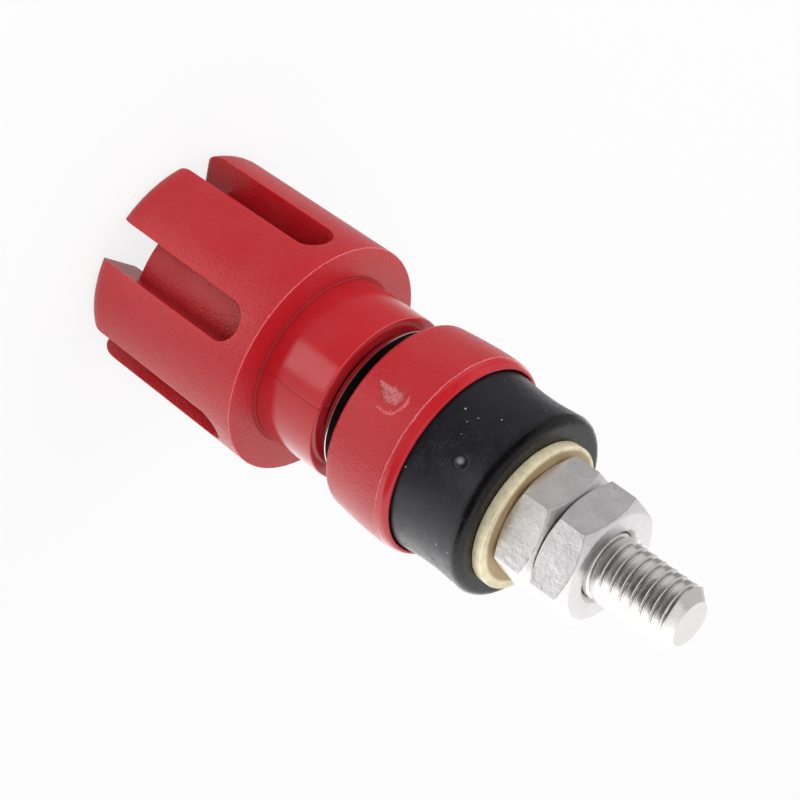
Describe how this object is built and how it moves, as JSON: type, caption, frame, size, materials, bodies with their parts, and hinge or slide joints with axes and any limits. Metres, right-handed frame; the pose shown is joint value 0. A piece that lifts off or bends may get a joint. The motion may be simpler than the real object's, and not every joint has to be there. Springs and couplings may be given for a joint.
{
  "type": "panel binding post",
  "caption": "Red screw-knob panel binding post with a 4 mm plug socket, a cross hole for bare wire, a black rear insulator and a threaded rear stud with nuts.",
  "frame": {"origin": "centre of the flat ring of rib ends at the knob's free end, which is the lowest plane of the part", "axes": "+Z along the post's axis, from the knob toward the threaded stud; X and Y across it, with the wire hole along X"},
  "size_m": [0.0144, 0.0144, 0.0399],
  "materials": {
    "knob_plastic": "satin thermoplastic, fine-grained, glossy neck",
    "bush_nickel": "nickel-plated turned brass",
    "ring_nickel": "bright nickel-plated turned brass",
    "post_nickel": "bright nickel-plated turned brass",
    "retainer_steel": "spring steel",
    "collar_plastic": "glossy thermoplastic with moulding marks",
    "insulator_black": "matt rubber-like black thermoplastic",
    "washer_brass": "plain brass, slightly mottled",
    "nut_nickel": "nickel-plated brass, satin flats",
    "nut_nickel_outer": "nickel-plated brass, satin flats"
  },
  "bodies": {
    "fixed_post": {"post": "post_nickel", "retaining_ring": "retainer_steel", "collar": "collar_plastic"},
    "clamp_slide": {"pressure_ring": "ring_nickel"},
    "knob": {"knob": "knob_plastic", "thread_bush": "bush_nickel"},
    "rear_clamp": {"rear_insulator": "insulator_black", "washer": "washer_brass"},
    "mounting_nut": {"mounting_nut": "nut_nickel"},
    "terminal_nut": {"terminal_nut": "nut_nickel_outer"}
  },
  "joints": [
    {"name": "clamp_travel", "type": "slide", "parent": "fixed_post", "child": "clamp_slide", "axis": [0, 0, -1], "range_m": [-0.00081, 0.003]},
    {"name": "knob_turn", "type": "hinge", "parent": "clamp_slide", "child": "knob", "pos_m": [0, 0, 0.008], "axis": [0, 0, -1], "range_deg": [-391, 1441]},
    {"name": "rear_travel", "type": "slide", "parent": "fixed_post", "child": "rear_clamp", "axis": [0, 0, 1], "range_m": [0, 0.0035]},
    {"name": "mounting_nut_turn", "type": "hinge", "parent": "rear_clamp", "child": "mounting_nut", "pos_m": [0, 0, 0.0305], "axis": [0, 0, 1], "range_deg": [0, 1801]},
    {"name": "terminal_nut_travel", "type": "slide", "parent": "rear_clamp", "child": "terminal_nut", "axis": [0, 0, 1], "range_m": [0, 0.001]}
  ],
  "couplings": [
    {"joint": "knob_turn", "follows": "clamp_travel", "rad_per_m": 8377.6},
    {"joint": "mounting_nut_turn", "follows": "rear_travel", "rad_per_m": 8976}
  ]
}
